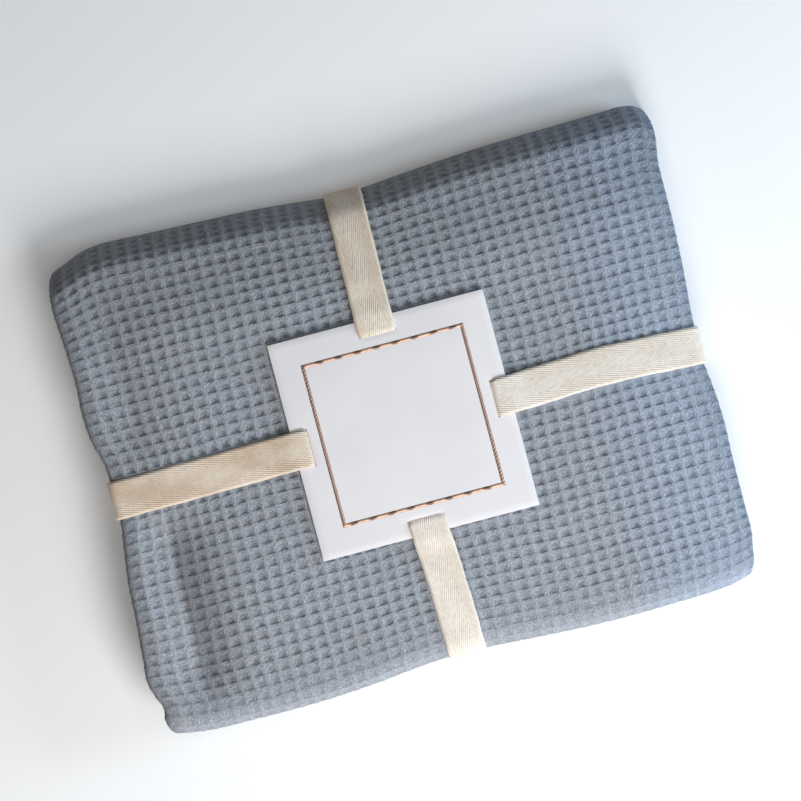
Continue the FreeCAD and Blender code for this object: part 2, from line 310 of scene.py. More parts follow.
def relief(u, v):
    """How far the outer face lies in from the ridges: four-sided pits, deepest in one corner."""
    deep = PIT_DEEP * (0.8 + 0.4 * cell_noise(u, v))
    return -deep * np.minimum(dip(u, CELL_U, DIP_U), dip(v, CELL_V, DIP_V))


def cell_lines(start, end, cell, marks):
    """The grid lines from start to end: the same few marks in every cell, and the start."""
    first, last = math.floor(start / cell), math.ceil(end / cell)
    lines = [(k + m) * cell for k in range(first, last + 1) for m in marks]
    return [start] + [at for at in lines if start + 0.4 < at < end - 0.4]


def even_lines(start, end, step):
    """Lines about a step apart from start, without the end."""
    count = max(1, round((end - start) / step))
    return [start + (end - start) * i / count for i in range(count)]


# the grid is fine this near a fold, and under the hollow that presses into the layers below
NEAR_FOLD = 14.0
UNDER_CREASE = 84.0


def lines_across():
    """The grid lines over the 1.7 m side: fine on the outer layer, coarse on the layers within."""
    lines = even_lines(U_KNOTS[0], U_KNOTS[1] - NEAR_FOLD, 40)
    lines += cell_lines(U_KNOTS[1] - NEAR_FOLD, U_KNOTS[4] + 2, CELL_U, MARKS_U)
    lines += even_lines(U_KNOTS[4] + 2, U_KNOTS[4] + NEAR_FOLD, 4)
    lines += even_lines(U_KNOTS[4] + NEAR_FOLD, U_KNOTS[5] - UNDER_CREASE, 40)
    lines += even_lines(U_KNOTS[5] - UNDER_CREASE, U_KNOTS[5], 9)
    lines += even_lines(U_KNOTS[5], U_KNOTS[6], 1)
    lines += even_lines(U_KNOTS[6], U_KNOTS[7], 40)
    return np.array(lines + [U_KNOTS[7]])


def shown_lines():
    """The grid lines over the part of the 1.3 m side that faces out: underside, rolls and top."""
    lines = cell_lines(V_KNOTS[0], V_KNOTS[1] - NEAR_FOLD, CELL_V, (0.0, 0.5))
    lines += cell_lines(V_KNOTS[1] - NEAR_FOLD, V_KNOTS[4] + NEAR_FOLD, CELL_V, MARKS_V)
    return np.array(lines)


def hidden_lines():
    """The grid lines over the two packets folded inside the stack."""
    lines = cell_lines(V_KNOTS[4] + NEAR_FOLD, V_KNOTS[7], CELL_V, (0.0, 0.5))
    return np.array(lines + [V_KNOTS[7]])


# ---------------------------------------------------------------- making meshes
def grid_quads(rows, columns, wrap=False):
    """The faces of a grid of points laid out row by row."""
    i, j = np.meshgrid(np.arange(rows - 1), np.arange(columns if wrap else columns - 1), indexing="ij")
    k = (j + 1) % columns
    corners = [i * columns + j, (i + 1) * columns + j, (i + 1) * columns + k, i * columns + k]
    return np.stack(corners, axis=-1).reshape(-1, 4).tolist()


def make_object(name, points, faces, flat=None):
    """A smooth mesh object from points in millimetres, with a map of its flat coordinates in metres."""
    mesh = bpy.data.meshes.new(name)
    mesh.from_pydata((np.asarray(points, float) * MM).tolist(), [], faces)
    if flat is not None:
        layer = mesh.uv_layers.new(name="cloth")
        corner = np.zeros(len(mesh.loops), np.int32)
        mesh.loops.foreach_get("vertex_index", corner)
        layer.data.foreach_set("uv", (np.asarray(flat, float) * MM)[corner].astype(np.float32).ravel())
    mesh.polygons.foreach_set("use_smooth", np.ones(len(mesh.polygons), bool))
    mesh.update()
    obj = bpy.data.objects.new(name, mesh)
    bpy.context.scene.collection.objects.link(obj)
    return obj


def tube(rings, closed_ends=True):
    """Points and faces of a tube from rings of points, one row a ring."""
    rows, columns = rings.shape[:2]
    faces = grid_quads(rows, columns, wrap=True)
    if closed_ends:
        faces.append(list(range(columns)))
        faces.append([(rows - 1) * columns + j for j in reversed(range(columns))])
    return rings.reshape(-1, 3), faces


def joined(parts):
    """Points and faces of several meshes as one."""
    points, faces, start = [], [], 0
    for part_points, part_faces in parts:
        points.append(part_points)
        faces += [[corner + start for corner in face] for face in part_faces]
        start += len(part_points)
    return np.concatenate(points), faces


# ---------------------------------------------------------------- the cloth
def make_cloth():
    """The whole blanket as one continuous sheet, coarser where it is folded away inside."""
    u_lines, v_lines, v_inside = lines_across(), shown_lines(), hidden_lines()
    near = [abs(u_lines - knot) < NEAR_FOLD + 1 for knot in U_KNOTS]
    kept = np.flatnonzero(np.any(near, axis=0) | (np.arange(len(u_lines)) % 20 == 0))
    u, v = np.meshgrid(u_lines, v_lines, indexing="xy")
    u_in, v_in = np.meshgrid(u_lines[kept], v_inside, indexing="xy")
    flat = np.concatenate([np.stack([u, v], -1).reshape(-1, 2), np.stack([u_in, v_in], -1).reshape(-1, 2)])
    on_show = smooth(U_KNOTS[1] - NEAR_FOLD, U_KNOTS[1] - 6, flat[:, 0])
    on_show = on_show * (1 - smooth(U_KNOTS[4], U_KNOTS[4] + 6, flat[:, 0]))
    on_show = on_show * (1 - 0.5 * bell((U_KNOTS[1] + U_KNOTS[2]) / 2, 9, flat[:, 0]))
    on_show = on_show * (1 - 0.3 * bell(U_KNOTS[3] - 4, 20, flat[:, 0]))
    on_show = on_show * (1 - 0.5 * smooth(V_KNOTS[3] - 22, V_KNOTS[3] + 4, flat[:, 1]))
    points = folded(flat[:, 0], flat[:, 1], relief(flat[:, 0], flat[:, 1]) * on_show)
    faces = grid_quads(len(v_lines), len(u_lines))
    first_inside, last_row = len(u_lines) * len(v_lines), len(u_lines) * (len(v_lines) - 1)
    faces += [[first_inside + i for i in face] for face in grid_quads(len(v_inside), len(kept))]
    for j in range(len(kept) - 1):
        row = [last_row + i for i in range(kept[j], kept[j + 1] + 1)]
        faces.append(row[::-1] + [first_inside + j, first_inside + j + 1])
    faces = [[int(corner) for corner in face] for face in faces]
    return make_object("blanket_cloth", points, faces, flat)


HEM_THICK = 2.4
# the section of a turned hem, 12 mm wide: how far in from the edge, and how far out as a share
# of its thickness
HEM_SHAPE = [
    (0.0, -0.25), (0.0, 0.25), (0.8, 0.5), (3.5, 0.42), (6.0, 0.46), (9.0, 0.46), (11.0, 0.38), (12.0, 0.12),
    (12.0, -0.12), (11.0, -0.38), (9.0, -0.46), (6.0, -0.46), (3.5, -0.42), (0.8, -0.5),
]
STITCH_STEP = 3.2
STITCH_LONG = 2.2
STITCH_IN = 10.2
# where each hem's edge lies, the way in from it, and whether it runs along u
HEM_EDGES = {
    "hem_bottom_packet": (0.0, 1, True),
    "hem_inner_packet": (CLOTH_V, -1, True),
    "hem_inner_face": (0.0, 1, False),
    "hem_third_layer": (CLOTH_U, -1, False),
}


def fold_lines(knots, step):
    """Lines along a folded edge: a step apart on the runs and close together round the folds."""
    lines = []
    for k in range(7):
        lines += even_lines(knots[k], knots[k + 1], step if k % 2 == 0 else 1.2)
    return np.array(lines + [knots[7]])


def hem_middle(u):
    """How far the middle of a hem lies outside the cloth's outer face, at each place over the 1.7 m side."""
    return -HEM_THICK / 2 * (1 - smooth(U_KNOTS[3], U_KNOTS[4], u))


def hem_rings(along, edge, side, over_u):
    """The rings of a turned hem along one edge of the cloth; side is the way in from that edge."""
    across = edge + side * np.array([a for a, b in HEM_SHAPE])
    proud = HEM_THICK * np.array([b for a, b in HEM_SHAPE])
    run, across = np.meshgrid(along, across, indexing="ij")
    u, v = (run, across) if over_u else (across, run)
    return folded(u, v, hem_middle(u) + proud), np.stack([u, v], -1)


def make_hem(name, along, edge, side, over_u):
    """One hem of the blanket: the edge turned over twice, as a soft flat roll."""
    rings, flat = hem_rings(along, edge, side, over_u)
    points, faces = tube(rings)
    hem = make_object(name, points, faces, flat.reshape(-1, 2))
    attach(hem, "blanket")
    return hem


def stitch_rings(start, across, end, over_u):
    """One stitch that lies on a hem from start to end of the edge, a short pointed thread."""
    share = np.linspace(0, 1, 5)
    thick = 0.34 * np.sqrt(np.maximum(0.04, 1 - (2 * share - 1) ** 2))
    turn = np.linspace(0, 2 * math.pi, 5, endpoint=False)
    along = (start + (end - start) * share)[:, None] + 0 * turn[None, :]
    off = across + thick[:, None] * np.cos(turn)[None, :]
    up = 0.10 + thick[:, None] * np.sin(turn)[None, :]
    u, v = (along, off) if over_u else (off, along)
    return folded(u, v, hem_middle(u) + HEM_THICK * 0.44 + up)


def make_hem_thread():
    """The row of stitches that holds the four hems down."""
    parts = []
    for edge, side, over_u in HEM_EDGES.values():
        length = CLOTH_U if over_u else CLOTH_V
        for i in range(int((length - 24) / STITCH_STEP)):
            start = 12 + i * STITCH_STEP
            rings = stitch_rings(start, edge + side * STITCH_IN, start + STITCH_LONG, over_u)
            parts.append(tube(rings))
    return make_object("hem_stitches", *joined(parts))


# ---------------------------------------------------------------- the tapes
# how high the middle of each tape runs on the underside, behind the card and over the card's edge
LONG_UNDER, LONG_BEHIND = LONG_LOW[2] + TAPE_THICK / 2, 46.65
CROSS_UNDER, CROSS_BEHIND = CROSS_LOW[2] + TAPE_THICK / 2, 47.65
OVER_CARD = LONG_HIGH[2] - TAPE_THICK / 2
# how far from the card's middle the slits are, and where a tape comes down from the card to the cloth
SLIT_AT = 64.0
RAMP_AT = (CARD_HALF + 14, CARD_HALF + 26, CARD_HALF + 34)
SEAM_HALF = 12.5
SEAM_STEP = 0.75
LONG_SEAM, CROSS_SEAM = -85.0, -85.0
TAPE_STEP = 1.5
TAPE_GAP = 0.3
# a height that parts a tape's upper runs from its lower ones
HALF_WAY = 20.0
# how far each tape wanders sideways along its run
LONG_SWAY = [
    (-215, 0), (-130, 0.8), (-64, 1.6), (0, 1.6), (64, 1.7), (100, 2.9), (140, 4.3), (170, 3.2), (215, 0.8),
]
CROSS_SWAY = [(-175, 3.4), (-100, 1.2), (-64, -1.2), (0, -1.2), (64, -1.2), (110, -0.6), (175, 0.4)]


def hull_round(along, across):
    """The convex outline of the stack where a tape crosses it, as (along, height) from the card's middle."""
    corner = np.zeros(len(cloth.data.vertices) * 3)
    cloth.data.vertices.foreach_get("co", corner)
    corner = corner.reshape(-1, 3) / MM
    middle = (CARD_X, CARD_Y)
    reach = TAPE_WIDE / 2 + SLIDE
    near = abs(corner[:, across] - middle[across]) < reach
    flat = [(p[along] - middle[along], p[2]) for p in corner[near]]
    return np.array([flat[i] for i in convex_hull_2d(flat)])


def resample(line, step):
    """Points evenly spaced along a line of points, about a step apart."""
    gone = np.concatenate([[0], np.cumsum(np.linalg.norm(np.diff(line, axis=0), axis=1))])
    at = np.linspace(0, gone[-1], max(2, round(gone[-1] / step) + 1))
    return np.stack([np.interp(at, gone, line[:, i]) for i in range(2)], axis=-1)


def softened(line, times):
    """The line with its corners eased, its ends held."""
    for _ in range(times):
        line[1:-1] = line[1:-1] / 2 + (line[:-2] + line[2:]) / 4
    return line


def kept_off(line, corners, gap):
    """The line moved out to clear a convex outline by the gap; the outline's corners go clockwise."""
    edge = np.roll(corners, -1, axis=0) - corners
    long = np.linalg.norm(edge, axis=1)
    corners, edge = corners[long > 0.01], edge[long > 0.01] / long[long > 0.01, None]
    out = np.stack([-edge[:, 1], edge[:, 0]], axis=-1)
    off = ((line[:, None, :] - corners[None, :, :]) * out[None, :, :]).sum(axis=-1)
    nearest = off.argmax(axis=1)
    short = np.maximum(0, gap - off[np.arange(len(line)), nearest])
    return line + out[nearest] * short[:, None]


def tape_line(hull, side, under, behind, seam_end, seam_step):
    """Half a band in its own plane: from under the card, out of the slit, round the stack to the seam."""
    outline = hull * (side, 1)
    centre = outline.mean(axis=0)
    turn = np.arctan2(outline[:, 1] - centre[1], outline[:, 0] - centre[0])
    outline = outline[np.argsort(-turn)]
    above = outline[outline[:, 1] > centre[1]]
    seat = [np.interp(at, above[:, 0], above[:, 1]) + TAPE_THICK / 2 + TAPE_GAP / 2 for at in RAMP_AT]
    top = above[above[:, 0] > RAMP_AT[-1] + 5]
    low = outline[(outline[:, 0] > 60) & (outline[:, 1] <= centre[1])]
    line = resample(np.concatenate([top, low]), 1.0)
    for _ in range(6):
        line = kept_off(softened(line, 8), outline, TAPE_THICK / 2 + TAPE_GAP)
    bottom = line[:, 1].min()
    line[:, 1] -= (bottom - under) * (1 - smooth(0, 12, line[:, 1] - bottom))
    card_run = [
        (0, behind), (58, behind), (SLIT_AT - 1.6, behind + 0.2), (SLIT_AT - 0.5, behind + 0.7),
        (SLIT_AT, (behind + OVER_CARD) / 2), (SLIT_AT + 0.6, OVER_CARD - 0.2),
        (SLIT_AT + 1.8, OVER_CARD + 0.1),
        (CARD_HALF - 1, OVER_CARD), (CARD_HALF + 3, OVER_CARD - 0.15), (RAMP_AT[0], seat[0] + 1.2),
        (RAMP_AT[1], seat[1] + 0.95), (RAMP_AT[2], seat[2] + 0.45),
    ]
    step_at, high = seam_end + 2 * SEAM_HALF + 1, under + seam_step
    seam_run = [(step_at + 4, under), (step_at, high), (seam_end, high)]
    if seam_step == 0:
        seam_run = [(seam_end, under)]
    fine = resample(np.concatenate([card_run, line, seam_run]), 0.4)
    return resample(softened(fine, 4), TAPE_STEP)


TAPE_COLUMNS = 13


def sway_share(high):
    """The share of its sway that a tape has at a height: all of it on top, two thirds underneath."""
    return np.clip((high + 2 * HALF_WAY) / (3 * HALF_WAY), 0, 1)


def tape_rings(line, sway, along, side, seed):
    """The rings of half a tape: a thin flat section swept along its line, with softly curled edges."""
    across = np.linspace(-1, 1, TAPE_COLUMNS)
    way = np.gradient(line, axis=0)
    way /= np.linalg.norm(way, axis=1)[:, None]
    out = np.stack([-way[:, 1], way[:, 0]], axis=-1)
    near_slit = bell(SLIT_AT + 0.5, 2.2, line[:, 0]) * (line[:, 1] > HALF_WAY)
    wide = TAPE_WIDE / 2 * (1 - 0.045 * near_slit)
    gone = np.arange(len(line)) * TAPE_STEP
    edge = 0.12 * np.sin(gone / 7.3 + seed) + 0.08 * np.sin(gone / 2.9 + 2 * seed)
    thick = TAPE_THICK / 2 * (1 - 0.55 * abs(across) ** 10)
    loops = np.concatenate([across, across[::-1]])
    proud = np.concatenate([thick, -thick[::-1]])
    curl = 0.16 * np.sin(gone / 23 + seed)[:, None] * loops[None, :] ** 2
    lateral = loops[None, :] * (wide + edge)[:, None]
    centre = (CARD_X, CARD_Y)
    at_fold = bell(SLIT_AT + 0.2, 1.6, line[:, :1]) * (line[:, 1:] > HALF_WAY)
    rounded_end = 0.7 * at_fold * abs(loops[None, :]) ** 5
    run = side * (line[:, :1] + out[:, :1] * proud[None, :] + rounded_end)
    high = line[:, 1:] + out[:, 1:] * proud[None, :] + abs(curl) * (line[:, 1:] > HALF_WAY)
    swayed = lateral + through(sway, run + centre[along]) * sway_share(line[:, 1:])
    points = np.zeros(run.shape + (3,))
    points[..., along] = run + centre[along]
    points[..., 1 - along] = swayed + centre[1 - along]
    points[..., 2] = high
    flat = np.stack([lateral + TAPE_WIDE / 2, side * gone[:, None] + 0 * lateral], -1)
    return points, flat


def make_tape_half(name, line, sway, along, side, seed):
    """Half a band, from the middle of the card's back to the seam on the underside."""
    rings, flat = tape_rings(line, sway, along, side, seed)
    if (side > 0) == (along == 0):
        rings, flat = rings[:, ::-1], flat[:, ::-1]
    points, faces = tube(rings)
    tape = make_object(name, points, faces, flat.reshape(-1, 2))
    return tape


# two places for each half, as (along, height) from the card's middle
LONG_HANDOVER = ((150.0, 47.0), (148.08, 58.44))
CROSS_HANDOVER = ((140.0, 47.0), (138.42, 56.98))


def handover(points, along, side):
    """Two points in metres, from (distance along the tape from the card's middle, height)."""
    spots = []
    for reach, high in points:
        spot = [CARD_X * MM, CARD_Y * MM, high * MM]
        spot[along] += side * reach * MM
        spots.append(tuple(spot))
    return spots


def make_tapes():
    """Both bands, each in two halves that meet behind the card and overlap at the seam underneath."""
    tapes = []
    plans = [
        ("long_tape", "long_band", 0, LONG_UNDER, LONG_BEHIND, LONG_SEAM, LONG_SWAY,
         LONG_HANDOVER, -SEAM_STEP),
        ("cross_tape", "cross_band", 1, CROSS_UNDER, CROSS_BEHIND, CROSS_SEAM, CROSS_SWAY,
         CROSS_HANDOVER, SEAM_STEP),
    ]
    for node, band, along, under, behind, seam, sway, points, step in plans:
        hull = hull_round(along, 1 - along)
        for side, word in ((1, ("right", "back")[along]), (-1, ("left", "front")[along])):
            reach = seam - SEAM_HALF if side > 0 else -(seam + SEAM_HALF)
            line = tape_line(hull, side, under, behind, reach, step if side > 0 else 0)
            start, end = handover(points, along, side)
            half = make_tape_half(f"{node}_{word}", line, sway, along, side, along * 3 + side)
            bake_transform(half)
            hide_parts(node)
            tapes.append(half)
    return tapes


# the stitches across a seam: their rows, where each starts across the tape, and their size
BAR_ROWS = (-6.0, 6.0)
BAR_STARTS = [-11.6 + i * 2.6 for i in range(9)]
BAR_LONG, BAR_THICK = 1.9, 0.22


def make_tape_stitches(name, along, under, seam, body, node):
    """Two rows of stitches across a band where its ends overlap on the underside."""
    parts = []
    turn = np.linspace(0, 2 * math.pi, 6, endpoint=False)
    share = np.linspace(0, 1, 6)
    thick = BAR_THICK * np.sqrt(np.maximum(0.05, 1 - (2 * share - 1) ** 2))
    centre = (CARD_X, CARD_Y)
    seam_sway = through(CROSS_SWAY if along else LONG_SWAY, np.array([seam + centre[along]]))
    sway = float(seam_sway[0] * sway_share(0))
    for row in BAR_ROWS:
        for start in BAR_STARTS:
            ring = np.zeros((6, 6, 3))
            ring[..., 1 - along] = centre[1 - along] + start + sway + BAR_LONG * share[:, None]
            ring[..., along] = centre[along] + seam + row + thick[:, None] * np.cos(turn)
            ring[..., 2] = under - TAPE_THICK / 2 - 0.02 + thick[:, None] * np.sin(turn)
            parts.append(tube(ring))
    stitches = make_object(name, *joined(parts))
    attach(stitches, body)
    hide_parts(node)
    return stitches


# ---------------------------------------------------------------- the card and its foil frame
CARD_THICK = CARD_HIGH[2] - CARD_LOW[2]
SLIT_LONG = 25.6
SLIT_WIDE = 1.1
# how far the slits' middles lie beside the card's middle
SIDE_SLIT_Y = 1.6
END_SLIT_X = -1.2
FOIL_HALF = 56.5
FOIL_WIDE = 2.5
FOIL_HIGH = 0.06
FOIL_POINTS = 41
# sets the flat maps of two sides of the frame apart from the other two
FOIL_SET_OFF = 10.0


def card_top(x, y):
    """The height of the card's face, x and y from its middle: nearly flat, its corners a little down."""
    corner = smooth(50, 110, np.hypot(x, y))
    bow = 0.25 * np.sin(x / 60 + 0.4) * np.cos(y / 55)
    return CARD_HIGH[2] - 0.55 * corner + 0.3 * bow * (1 - smooth(50, 62, np.maximum(abs(x), abs(y))))


def card_lines(slit_middle):
    """Grid lines over the card that include the ends and sides of its slits."""
    half_long, half_wide = SLIT_LONG / 2, SLIT_WIDE / 2
    lines = set(np.linspace(-CARD_HALF, CARD_HALF, 31).tolist())
    marks = [slit_middle - half_long, slit_middle + half_long]
    marks += [side * SLIT_AT + half for side in (-1, 1) for half in (-half_wide, half_wide)]
    lines = [at for at in lines if all(abs(at - mark) > 1.2 for mark in marks)]
    return np.array(sorted(lines + marks))


def in_slit(out, along):
    """Whether a place is in a slit, from how far out from the middle and how far along it lies."""
    return abs(abs(out) - SLIT_AT) < SLIT_WIDE / 2 and abs(along) < SLIT_LONG / 2


def make_card():
    """The card with its four slits."""
    x_lines, y_lines = card_lines(END_SLIT_X), card_lines(SIDE_SLIT_Y)
    x, y = np.meshgrid(x_lines, y_lines, indexing="xy")
    points = np.stack([x + CARD_X, y + CARD_Y, card_top(x, y)], -1).reshape(-1, 3)
    flat = np.stack([x, y], -1).reshape(-1, 2) + CARD_HALF
    faces = []
    for face in grid_quads(len(y_lines), len(x_lines)):
        middle = points[face].mean(axis=0)[:2] - (CARD_X, CARD_Y)
        side_slit = in_slit(middle[0], middle[1] - SIDE_SLIT_Y)
        end_slit = in_slit(middle[1], middle[0] - END_SLIT_X)
        if not side_slit and not end_slit:
            faces.append(face[::-1])
    card = make_object("card_sheet", points, faces, flat)
    thick = card.modifiers.new("thickness", "SOLIDIFY")
    thick.thickness = CARD_THICK * MM
    thick.offset = -1
    thick.use_even_offset = False
    edge = card.modifiers.new("edge", "BEVEL")
    edge.width = 0.08 * MM
    edge.segments = 2
    edge.limit_method = "ANGLE"
    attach(card, "card")
    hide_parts("card")
    return card


def make_foil():
    """The printed foil line that frames the card, as a thin film on its face."""
    parts, flats = [], []
    share = np.linspace(-1, 1, FOIL_POINTS)
    section = [(0, 0.0), (0, FOIL_HIGH), (FOIL_WIDE, FOIL_HIGH), (FOIL_WIDE, 0.0)]
    for turn in range(4):
        rings, flat = np.zeros((FOIL_POINTS, 4, 3)), np.zeros((FOIL_POINTS, 4, 2))
        for j, (inwards, high) in enumerate(section):
            reach = FOIL_HALF - inwards
            along, out = share * reach, np.full(FOIL_POINTS, reach)
            x, y = ((along, -out), (out, along), (-along, out), (-out, -along))[turn]
            rings[:, j] = np.stack([x + CARD_X, y + CARD_Y, card_top(x, y) + high], -1)
            lane = np.full(FOIL_POINTS, inwards + FOIL_SET_OFF * (turn % 2))
            flat[:, j] = np.stack([share * FOIL_HALF + FOIL_HALF, lane], -1)
        parts.append(tube(rings, closed_ends=False))
        flats.append(flat.reshape(-1, 2))
    foil = make_object("foil_frame", *joined(parts), np.concatenate(flats))
    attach(foil, "card")
    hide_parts("card_border")
    return foil


# ---------------------------------------------------------------- putting the object together
cloth = make_cloth()
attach(cloth, "blanket")
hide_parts("folded_blanket")

hems = []
for hem_name, (hem_edge, hem_side, hem_over_u) in HEM_EDGES.items():
    hem_along = fold_lines(U_KNOTS, 8) if hem_over_u else fold_lines(V_KNOTS, 8)
    hems.append(make_hem(hem_name, hem_along, hem_edge, hem_side, hem_over_u))

hem_thread = make_hem_thread()
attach(hem_thread, "blanket")
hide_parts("hem_thread")

tapes = make_tapes()
tape_stitches = [
    make_tape_stitches("long_seam", 0, LONG_UNDER - SEAM_STEP, LONG_SEAM, "long_band", "long_tape_stitches"),
    make_tape_stitches("cross_seam", 1, CROSS_UNDER, CROSS_SEAM, "cross_band", "cross_tape_stitches"),
]
card = make_card()
foil = make_foil()


# ---------------------------------------------------------------- materials
class Finish:
    """A material and a short way to write its nodes."""

    def __init__(self, name, roughness, colour=(0.8, 0.8, 0.8)):
        self.material = bpy.data.materials.new(name)
        self.material.use_nodes = True
        self.tree = self.material.node_tree
        self.shader = self.tree.nodes["Principled BSDF"]
        self.set("Base Color", (*colour, 1))
        self.set("Roughness", roughness)

    def set(self, socket, value):
        """A constant or a link on one of the shader's own sockets."""
        self.feed(self.shader.inputs[socket], value)

    def feed(self, socket, value):
        """A constant or a link on any socket."""
        if isinstance(value, bpy.types.NodeSocket):
            self.tree.links.new(value, socket)
        else:
            socket.default_value = value

    def node(self, kind, inputs, **settings):
        made = self.tree.nodes.new(kind)
        for key, value in settings.items():
            setattr(made, key, value)
        for key, value in inputs.items():
            self.feed(made.inputs[key], value)
        return made

    def math(self, operation, *values):
        return self.node("ShaderNodeMath", dict(enumerate(values)), operation=operation).outputs[0]

    def add(self, a, b):
        return self.math("ADD", a, b)

    def times(self, a, b):
        return self.math("MULTIPLY", a, b)

    def ease(self, at, low, high, start=0.0, end=1.0):
        """From start below low to end above high, eased between."""
        inputs = {"Value": at, "From Min": low, "From Max": high, "To Min": start, "To Max": end}
        return self.node("ShaderNodeMapRange", inputs, interpolation_type="SMOOTHSTEP").outputs[0]

    def mix(self, share, a, b, blend="MIX"):
        """Colour a at share 0 and colour b at share 1."""
        made = self.node("ShaderNodeMix", {}, data_type="RGBA", blend_type=blend)
        for key, value in ((0, share), (6, a), (7, b)):
            self.feed(made.inputs[key], (*value, 1) if isinstance(value, tuple) else value)
        return made.outputs[2]

    def flat_map(self):
        """The coordinates over the flat cloth, in millimetres."""
        place = self.node("ShaderNodeUVMap", {}, uv_map="cloth").outputs[0]
        parts = self.node("ShaderNodeSeparateXYZ", {0: place}).outputs
        return self.times(parts[0], 1 / MM), self.times(parts[1], 1 / MM)

    def vector(self, x, y, z=0.0):
        return self.node("ShaderNodeCombineXYZ", {0: x, 1: y, 2: z}).outputs[0]

    def noise(self, place, scale, detail=2.0, rough=0.5):
        """Soft noise from 0 to 1 with about scale features a unit."""
        inputs = {"Vector": place, "Scale": scale, "Detail": detail, "Roughness": rough}
        return self.node("ShaderNodeTexNoise", inputs).outputs[0]

    def wave(self, at, pitch):
        """Rounded ribs from 0 to 1, one a pitch."""
        return self.add(self.times(self.math("SINE", self.times(at, 2 * math.pi / pitch)), 0.5), 0.5)

    def bump(self, height, deep, strength=1.0):
        """Relief of height 0 to 1, deep millimetres, on the shader's normal."""
        inputs = {"Height": height, "Distance": deep * MM, "Strength": strength}
        self.set("Normal", self.node("ShaderNodeBump", inputs).outputs[0])


def srgb(red, green, blue):
    """A colour given from 0 to 255 as it looks on a screen, in the shader's linear numbers."""
    values = (c / 255 for c in (red, green, blue))
    return tuple(c / 12.92 if c <= 0.04045 else ((c + 0.055) / 1.055) ** 2.4 for c in values)


YARN = 0.95
# where the hollow beside the left roll lies on the flat cloth, across it and along it
CREASE_U = U_KNOTS[2] + CREASE_X - LEFT_AXIS - 4
CREASE_V = [(V_KNOTS[3] - 150, V_KNOTS[3] - 100), (V_KNOTS[3] - 40, V_KNOTS[3] - 5)]


def cell_dip(finish, at, cell, shape):
    """The same dip as in the mesh, 0 on a ridge and 1 in the deepest part of the pit."""
    t = finish.math("FRACT", finish.times(at, 1 / cell))
    into = finish.ease(t, shape[0], shape[1])
    return finish.times(into, finish.ease(t, shape[2], shape[3], 1.0, 0.0))


def streaks(finish, u, v, angle, long, fine):
    """Fine streaks of yarn that lie at an angle to the cloth, from 0 to 1."""
    c, s = math.cos(math.radians(angle)), math.sin(math.radians(angle))
    along = finish.add(finish.times(u, c / long), finish.times(v, s / long))
    across = finish.add(finish.times(u, -s / fine), finish.times(v, c / fine))
    return finish.noise(finish.vector(along, across, angle / 10), 1.0, 2.0, 0.6)


def cloth_colour_and_painted_light(f, place, u, v):
    """Soft patches of the cloth's own colour, then painted light and shade: bluer towards the right, darker
    on both side folds.
    """
    patch = f.ease(f.noise(f.vector(f.times(u, 0.6), v), 0.16, 2.0), 0.3, 0.7)
    base = f.mix(patch, srgb(160, 167, 175), srgb(163, 165, 173))
    broad = f.ease(f.noise(place, 0.012, 2.0), 0.3, 0.7)
    base = f.mix(f.times(broad, 0.35), base, srgb(154, 157, 162))
    # painted light: the top is bluer and lighter towards the right fold
    painted_blue_light = f.ease(u, U_KNOTS[3] - 110, U_KNOTS[3] - 30, 0.0, 0.6)
    painted_blue_light = f.times(painted_blue_light, f.ease(u, U_KNOTS[3] - 4, U_KNOTS[3] + 16, 1.0, 0.0))
    base = f.mix(painted_blue_light, base, srgb(160, 174, 193))
    # painted shade on the right fold
    painted_right_fold_shade = f.ease(u, U_KNOTS[3] - 9, U_KNOTS[3] + 2)
    painted_right_fold_shade = f.times(painted_right_fold_shade, f.ease(u, U_KNOTS[3] + 4, U_KNOTS[4], 1.0, 0.0))
    base = f.mix(f.times(painted_right_fold_shade, 0.5), base, srgb(128, 140, 158))
    # painted shade on the left fold
    painted_left_fold_shade = f.ease(u, U_KNOTS[2] - 20, U_KNOTS[2] - 10)
    painted_left_fold_shade = f.times(painted_left_fold_shade, f.ease(u, U_KNOTS[2] - 4, U_KNOTS[2] + 7, 1.0, 0.0))
    return f.mix(f.times(painted_left_fold_shade, 0.45), base, srgb(112, 112, 115))


def crease_shade(f, u, v):
    """Painted shade in the hollow beside the left roll, 1 outside it; it is fixed to the cloth."""
    sunk = f.times(f.ease(u, CREASE_U, CREASE_U + 4), f.ease(u, CREASE_U + 12, CREASE_U + 42, 1.0, 0.0))
    sunk = f.times(sunk, f.times(f.ease(v, *CREASE_V[0]), f.ease(v, *CREASE_V[1], 1.0, 0.0)))
    return f.add(1.0, f.times(sunk, -0.2))


def cell_groove(f, place, v, dip_u):
    """Painted shade: a dark line in the groove between two rows of cells, broken here and there; the darkest
    is 1.
    """
    row = f.math("FRACT", f.times(v, 1 / CELL_V))
    groove = f.times(f.ease(row, 0.84, 0.91), f.ease(row, 0.93, 1.0, 1.0, 0.0))
    groove = f.times(groove, f.ease(f.noise(place, 0.4, 1.0), 0.35, 0.6, 0.05, 0.5))
    return f.times(groove, f.ease(dip_u, 0.0, 0.3, 0.3, 1.0))


def cloth_yarn(f, u, v, dip_u, dip_v):
    """Streaks of yarn that are steep beside a pit and shallow before and behind it."""
    upright = f.ease(f.add(dip_v, f.times(dip_u, -1.0)), -0.25, 0.25)
    steep = streaks(f, u, v, -62, 2.6, 0.85)
    shallow = streaks(f, u, v, -18, 2.8, 0.85)
    return f.add(f.times(steep, upright), f.times(shallow, f.add(1.0, f.times(upright, -1.0))))


